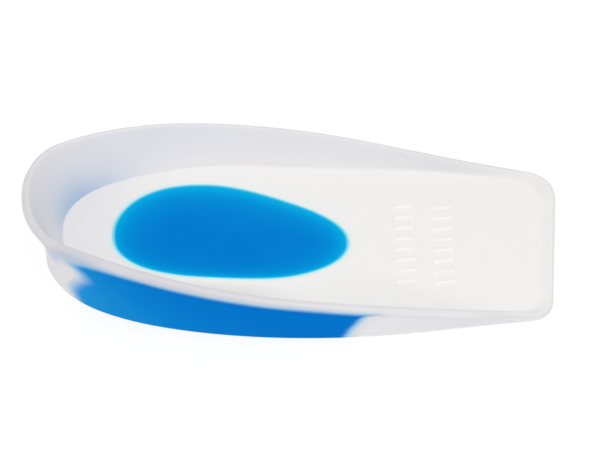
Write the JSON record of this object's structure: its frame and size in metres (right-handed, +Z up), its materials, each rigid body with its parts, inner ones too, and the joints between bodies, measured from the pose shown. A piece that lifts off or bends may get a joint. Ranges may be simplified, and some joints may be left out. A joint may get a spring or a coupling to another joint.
{
  "type": "silicone heel cup",
  "caption": "Translucent silicone heel cup with a flared wall round the heel, a thin open front, a soft gel heel pad in the floor and a gel inlay in one side.",
  "frame": {"origin": "middle of the footprint, on the surface that the cup stands on", "axes": "+X from the heel to the open front, +Y across to the side without the inlay, +Z up"},
  "size_m": [0.112, 0.065, 0.017],
  "materials": {
    "milky_silicone": "satin moulded silicone, milky and translucent",
    "pad_gel": "smooth blue silicone gel",
    "inlay_gel": "smooth blue silicone gel under a thin milky skin at its heel end"
  },
  "bodies": {
    "root": {"cup_body": "milky_silicone", "heel_pad": "pad_gel", "side_inlay": "inlay_gel"}
  },
  "joints": []
}
